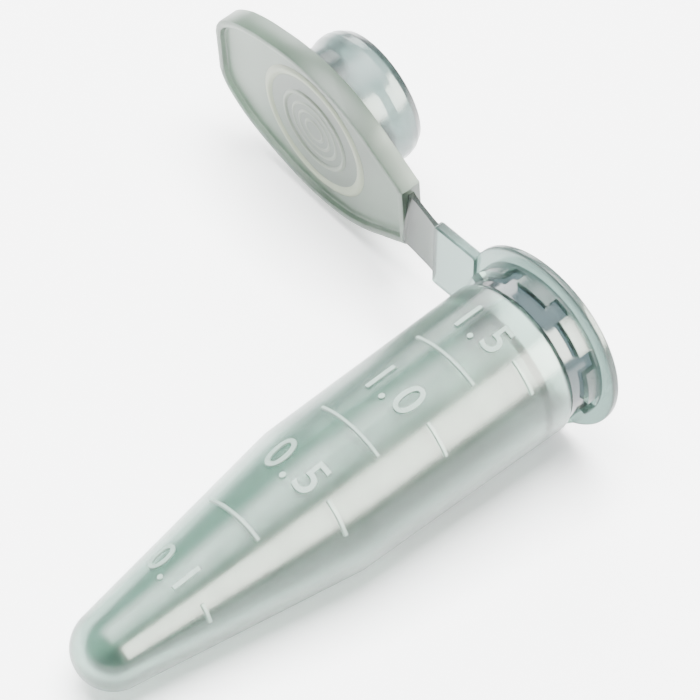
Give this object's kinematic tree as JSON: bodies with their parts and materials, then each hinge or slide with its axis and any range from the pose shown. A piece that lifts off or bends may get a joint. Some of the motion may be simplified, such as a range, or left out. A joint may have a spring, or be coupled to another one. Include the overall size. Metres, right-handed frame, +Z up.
{
  "type": "microcentrifuge tube",
  "caption": "Conical snap-cap microcentrifuge tube in clear plastic, lying on its side with its strap-hinged lid open to expose the sealing plug.",
  "frame": {"origin": "centre of the bounding box's base, on the surface the tube lies on", "axes": "+X roughly from the tip to the mouth (6.2 degrees above the surface), +Y from the tube along the strap to the open lid, +Z up"},
  "size_m": [0.0456, 0.0386, 0.014],
  "materials": {
    "clear_polypropylene": "natural translucent polypropylene, glossy",
    "frosted_polypropylene": "frosted writing area"
  },
  "bodies": {
    "tube": {"tube_body": "clear_polypropylene", "rim_flange": "clear_polypropylene", "castellated_collar": "clear_polypropylene", "strap_base": "clear_polypropylene", "film_hinge": "clear_polypropylene", "writing_panel": "frosted_polypropylene", "graduation_tick_1_5": "clear_polypropylene", "graduation_tick_1_0": "clear_polypropylene", "graduation_tick_0_5": "clear_polypropylene", "graduation_tick_0_1": "clear_polypropylene", "graduation_line_upper": "clear_polypropylene", "graduation_line_middle": "clear_polypropylene", "graduation_line_lower": "clear_polypropylene"},
    "lid": {"lid_plate": "clear_polypropylene", "lid_ring_outer": "clear_polypropylene", "lid_ring_inner": "clear_polypropylene", "sealing_plug": "clear_polypropylene"}
  },
  "joints": [
    {"name": "lid_hinge", "type": "hinge", "parent": "tube", "child": "lid", "pos_m": [0.01652, -0.00159, 0.00737], "axis": [-0.1497, 0, 0.9887], "range_deg": [-176.8, 15], "deforming": ["film_hinge", "sealing_plug"]}
  ]
}
